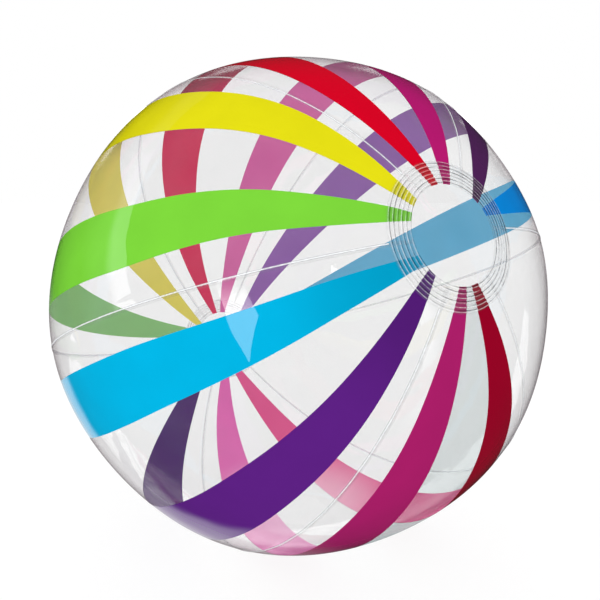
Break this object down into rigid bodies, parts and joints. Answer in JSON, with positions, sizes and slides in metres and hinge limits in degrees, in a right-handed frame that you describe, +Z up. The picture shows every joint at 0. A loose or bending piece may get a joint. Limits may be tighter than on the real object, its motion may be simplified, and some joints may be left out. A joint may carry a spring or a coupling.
{
  "type": "inflatable beach ball",
  "caption": "Round inflatable ball of clear film gores with coloured stripes, welded end discs, and a push-in valve with a check flap and a plug on a strap.",
  "frame": {"origin": "on the ground under the middle of the ball, in the middle of the flat that the ball's weight presses into it", "axes": "+Z up. The front pole, at the middle of one end disc, points to -Y and +X (60.4 degrees from +X towards -Y in plan) and rises 22.4 degrees from the ground; the valve faces +Y and +X, low down"},
  "size_m": [0.6777, 0.6712, 0.6718],
  "materials": {
    "film_clear": "clear soft PVC film, very glossy",
    "film_yellow_green": "clear soft PVC film with an opaque yellow stripe and a green stripe, very glossy",
    "film_blue_purple": "clear soft PVC film with an opaque blue stripe and a purple stripe, very glossy",
    "film_magenta_red": "clear soft PVC film with an opaque magenta stripe and a red stripe, very glossy",
    "valve_vinyl": "translucent soft vinyl moulding, satin"
  },
  "bodies": {
    "ball": {"gore_yellow_green": "film_yellow_green", "gore_blue_purple_lower": "film_blue_purple", "gore_magenta_red_lower": "film_magenta_red", "gore_clear_valve": "film_clear", "gore_blue_purple_upper": "film_blue_purple", "gore_magenta_red_upper": "film_magenta_red", "end_disc_front": "film_clear", "end_disc_back": "film_clear", "valve_flange": "valve_vinyl", "valve_collar": "valve_vinyl"},
    "stem": {"valve_stem": "valve_vinyl", "plug_strap": "valve_vinyl"},
    "plug": {"valve_plug": "valve_vinyl"},
    "flap": {"check_flap": "valve_vinyl"}
  },
  "joints": [
    {"name": "stem_pull", "type": "slide", "parent": "ball", "child": "stem", "axis": [0.3934, 0.716, -0.5766], "range_m": [0, 0.014]},
    {"name": "plug_flip", "type": "hinge", "parent": "stem", "child": "plug", "pos_m": [0.12485, 0.24213, 0.13696], "axis": [-0.2339, 0.6846, 0.6904], "range_deg": [0, 140]},
    {"name": "flap_swing", "type": "hinge", "parent": "stem", "child": "flap", "pos_m": [0.12146, 0.23017, 0.14768], "axis": [0.2339, -0.6846, -0.6904], "range_deg": [0, 60], "stiffness_Nm_per_rad": 0.00005}
  ]
}
